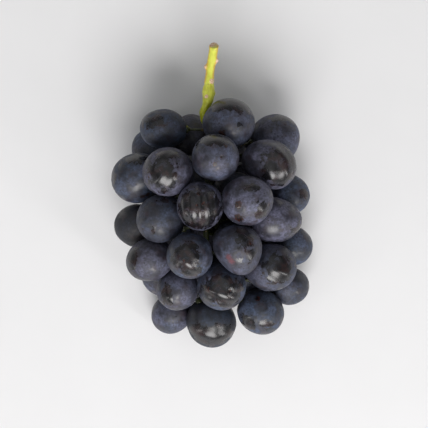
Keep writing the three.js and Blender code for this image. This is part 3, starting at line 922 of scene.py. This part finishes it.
def stalk_shape(points, props):
    """The free stalk drawn again as a rounded rind, and its marks.

    Round the middle line, the radius at (y, angle) is the stalk's mean radius, times 1 plus shallow
    ribs and some unevenness, plus a hill for each swelling, wart and scar. The cut end is sheared so
    that it slants, and is sunk in its middle inside a rim."""
    top = points[:, 1].max()
    start = top - props.free_length
    line, mean = stalk_frame(points, start)
    y = points[:, 1]
    within = np.clip(y, start, top)
    across = points[:, 0] - line[0](within)
    up = points[:, 2] - line[1](within)
    free = smooth_step(y, start, start + BLEND_LENGTH) * (np.abs(across) < STALK_CLEAR)
    reach = np.hypot(across, up) + 1e-9
    angle = np.arctan2(across, up)
    base = mean(np.minimum(within, top - CUT_STRETCH))

    along = (top - y) / MM
    rng = np.random.default_rng(7)
    spot = np.column_stack([across / GIRTH, y / REACH_ALONG, up / GIRTH])
    slow = uneven(spot, rng, *SLOW_RIND_WAVES)
    fine = uneven(spot, rng, *FINE_RIND_WAVES)
    ribs = RIB_HEIGHT * np.cos(RIBS * angle + TWIST * along)
    target = base * (1 + ribs + SLOW_HEIGHT * slow + FINE_HEIGHT * fine)
    sides = {
        "towards -X": 0.5 - 0.5 * np.sin(angle),
        "towards +X": 0.5 + 0.5 * np.sin(angle),
        "only +X": np.clip(np.sin(angle), 0, 1) ** 2,
        "all round": 1.0,
    }
    for far, long, high, side in SWELLINGS:
        target += high * MM * hill(along, far, long) * sides[side]
    cork = np.zeros(len(points))
    for far, turn, wide, high, corky in STALK_MARKS:
        turned = (angle - math.radians(turn) + np.pi) % (2 * np.pi) - np.pi
        out = np.hypot(along - far, base / MM * turned) / wide
        target += high * MM * np.exp(-(out**2.6))
        cork = np.maximum(cork, corky * np.exp(-((out / 1.05) ** 4)))

    axis = unit([line[0].deriv()(top), 1.0, line[1].deriv()(top)])
    end = np.array([line[0](top), top, line[1](top)])
    past = (points - end) @ axis
    cap = smooth_step(past - past.max(), *CUT_FACE)
    new_reach = (1 - cap) * target + cap * np.minimum(reach * target / base, target)
    grow = 1 + free * (new_reach / reach - 1)
    shaped = np.column_stack([line[0](within) + across * grow, y, line[1](within) + up * grow])
    share = np.clip(new_reach / target, 0, 1)
    ring = hill(share, *CUT_RIM)
    shaped[:, 1] -= smooth_step(along, *SLANT_FELT) * (DRAWN_BACK + SLOPE * (shaped[:, 2] - end[2]))
    relief = CUT_HEIGHTS["rim"] * ring - CUT_HEIGHTS["hollow"] * (1 - share)
    shaped[:, 1] += cap * (relief + CUT_HEIGHTS["rough"] * fine)
    shaped[:, 1] += TAG_HEIGHT * hill(angle, *TAG) * cap * ring
    cut_cork = smooth_step(along, *CORKY) * (0.62 + 0.3 * ring)
    sideways = smooth_step(np.abs(np.sin(angle)), 0.3, 1.0)
    marks = {
        # deep: the older green, then the dark green of the painted shade deep inside the bunch.
        "deep": 0.6 * smooth_step(along, *OLDER) + 0.9 * smooth_step(along, *PAINTED_SHADE),
        "cork": free * np.maximum(cork, cut_cork),
        # blush: the painted edge shade on the free stalk's sides, as seen from above.
        "blush": free * sideways * smooth_step(along, *EDGE_SHADE),
    }
    return np.where(free[:, None] > 0, shaped, points), marks


class GRAPES_OT_stem(bpy.types.Operator):
    """Rounds the facets off the CAD stem, and gives the free stalk its rind, warts and cut."""

    bl_idname = "grapes.stem"
    bl_label = "Make the stem"

    def execute(self, context):
        props = context.scene.grape_stem
        points, quads = rebuilt_stem(props)
        points = faired(points, quads, props.fair)
        points, marks = stalk_shape(points, props)
        material = green_stalk(props)
        piece = make_piece("grape_stem", points, quads.tolist(), material, marks)
        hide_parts(STEM)
        return {"FINISHED"}


def soft_room(props):
    """A pale room: light walls low down all round, under a ceiling that is nearly dark.

    Its brightness is a smooth step of how far a ray of unit length rises. Below the level of the
    floor it is as bright as the lit floor, which so seems to go on past its edge."""
    world = bpy.data.worlds.new("soft_room")
    world.use_nodes = True
    tree = world.node_tree
    tree.nodes.clear()
    way = add(tree, "ShaderNodeSeparateXYZ", {0: add(tree, "ShaderNodeTexCoord").outputs["Generated"]})
    rise = {0: way.outputs["Z"], 1: 0.02, 2: 0.6, 3: props.walls, 4: props.ceiling}
    strength = add(tree, "ShaderNodeMapRange", rise, **SOFT)
    sink = {0: way.outputs["Z"], 1: -0.035, 2: 0.01, 3: props.beyond, 4: strength}
    strength = add(tree, "ShaderNodeMapRange", sink, **SOFT)
    sky = add(tree, "ShaderNodeBackground", {"Color": opaque("sky"), "Strength": strength})
    add(tree, "ShaderNodeOutputWorld", {"Surface": sky.outputs[0]})
    return world


def area_light(name, place, aim, size, power, tint):
    """An oval lamp at a place, turned to face a point."""
    lamp = bpy.data.lights.new(name, "AREA")
    lamp.shape = "ELLIPSE"
    lamp.size, lamp.size_y = size
    lamp.energy = power
    lamp.color = tint
    made = bpy.data.objects.new(name, lamp)
    made.location = place
    made.rotation_mode = "QUATERNION"
    made.rotation_quaternion = (Vector(aim) - Vector(place)).to_track_quat("-Z", "Y")
    made.visible_camera = False
    bpy.context.scene.collection.objects.link(made)


# The panels of the soft light: where each stands, its width and length, and its share of the power.
KEY_PANELS = (
    ((0.1, -2.05, 1.9), (2.4, 1.9), 0.78),
    ((1.96, -1.47, 1.43), (0.35, 2.3), 0.15),
    ((-2.1, -1.4, 1.22), (0.26, 2.1), 0.07),
)
KEY_TINT = (1.0, 0.985, 0.985)
# The overhead fill, so wide that its reflection is only a faint even shine.
FILL_PLACE, FILL_SIZE, FILL_TINT = (-0.3, 0.6, 1.9), (3.4, 3.4), (0.96, 0.98, 1.0)
LIT_POINT = (0.0, 0.0, 40 * MM)  # the lamps face this point in the bunch
SEEN_POINT = (0.9 * MM, -10.6 * MM, 50 * MM)  # the camera looks straight down on this point
FLOOR_DROP = 0.2 * MM  # the floor lies this far under the flats of the lowest berries


class GRAPES_OT_stage(bpy.types.Operator):
    """Lays the floor, hangs the lights and sets the camera over the bunch."""

    bl_idname = "grapes.stage"
    bl_label = "Make the stage"

    def execute(self, context):
        props = context.scene.grape_stage
        half = props.floor_size / 2
        mesh = bpy.data.meshes.new("floor")
        ends = [(x * half, y * half, -FLOOR_DROP) for x, y in ((-1, -1), (1, -1), (1, 1), (-1, 1))]
        mesh.from_pydata(ends, [], [(0, 1, 2, 3)])
        mesh.materials.append(pale_floor(props))
        floor = bpy.data.objects.new("floor", mesh)
        context.scene.collection.objects.link(floor)

        for place, size, share in KEY_PANELS:
            area_light("key_panel", place, LIT_POINT, size, props.key_power * share, KEY_TINT)
        area_light("fill", FILL_PLACE, LIT_POINT, FILL_SIZE, props.fill_power, FILL_TINT)
        context.scene.world = soft_room(props)
        context.scene.view_settings.view_transform = "Standard"

        lens = bpy.data.cameras.new("camera")
        lens.lens = props.lens
        lens.clip_start, lens.clip_end = 0.05, 20.0
        camera = bpy.data.objects.new("camera", lens)
        away = props.seen_width * props.lens / lens.sensor_width
        camera.location = Vector(SEEN_POINT) + Vector((0.0, 0.0, away))
        context.scene.collection.objects.link(camera)
        context.scene.camera = camera
        return {"FINISHED"}


class GRAPES_PT_bunch(bpy.types.Panel):
    """Lists what can be made, with its sizes and colours."""

    bl_label = "Bunch of grapes"
    bl_idname = "GRAPES_PT_bunch"
    bl_space_type = "VIEW_3D"
    bl_region_type = "UI"
    bl_category = "Grapes"

    def draw(self, context):
        for group, _, operator in PARTS:
            box = self.layout.box()
            box.operator(operator.bl_idname)
            props = getattr(context.scene, group)
            for name in props.__annotations__:
                box.prop(props, name)


# What can be made: the scene's name for its values, the group of them, and the operator.
PARTS = (
    ("grape_stage", GrapeStageProps, GRAPES_OT_stage),
    ("grape_berries", GrapeBerryProps, GRAPES_OT_berries),
    ("grape_stem", GrapeStemProps, GRAPES_OT_stem),
)


def register():
    """Registers the property groups, the operators and the panel."""
    for name, group, operator in PARTS:
        bpy.utils.register_class(group)
        setattr(bpy.types.Scene, name, bpy.props.PointerProperty(type=group))
        bpy.utils.register_class(operator)
    bpy.utils.register_class(GRAPES_PT_bunch)


def unregister():
    """Takes away what register made, the other way round."""
    bpy.utils.unregister_class(GRAPES_PT_bunch)
    for name, group, operator in reversed(PARTS):
        bpy.utils.unregister_class(operator)
        delattr(bpy.types.Scene, name)
        bpy.utils.unregister_class(group)


def main():
    register()
    bpy.ops.grapes.stage()
    bpy.ops.grapes.berries()
    bpy.ops.grapes.stem()


if __name__ == "__main__":
    main()
